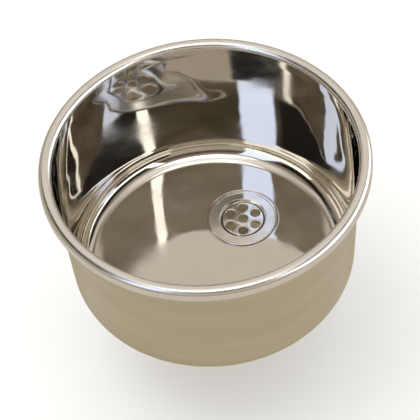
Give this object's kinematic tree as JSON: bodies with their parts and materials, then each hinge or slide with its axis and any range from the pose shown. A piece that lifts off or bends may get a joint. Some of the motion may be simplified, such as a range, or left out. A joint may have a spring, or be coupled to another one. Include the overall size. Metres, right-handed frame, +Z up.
{
  "type": "pedicure foot bath",
  "caption": "Round inset foot bath: a deep polished bowl with a rolled rim and an off-centre flanged waste with a lift-out perforated plate.",
  "frame": {"origin": "on the bowl's axis, at the flat underside of the rolled rim, where the bath rests on the bench", "axes": "+Z up along the bowl's axis, +Y from the bowl's axis towards the waste"},
  "size_m": [0.3799, 0.38, 0.3447],
  "materials": {
    "polished_steel": "mirror polished stainless steel inside, satin outside",
    "waste_steel": "satin stainless steel with polished edges",
    "tube_steel": "chrome plated brass tube",
    "brass_nut": "cast brass, tumbled",
    "black_rubber": "matte",
    "fibre": "vulcanised fibre",
    "sealant": "matte putty",
    "white_plastic": "polyethylene"
  },
  "bodies": {
    "bath": {"bowl_shell": "polished_steel", "flange_seal": "sealant", "waste_body": "waste_steel", "rubber_gasket": "black_rubber", "friction_ring": "fibre", "lock_nut": "brass_nut", "tail_washer": "white_plastic", "tailpiece": "tube_steel", "slip_nut": "brass_nut"},
    "strainer": {"strainer_plate": "waste_steel"}
  },
  "joints": [
    {"name": "plate_lift", "type": "slide", "parent": "bath", "child": "strainer", "axis": [0, 0, 1], "range_m": [0, 0.21]}
  ]
}
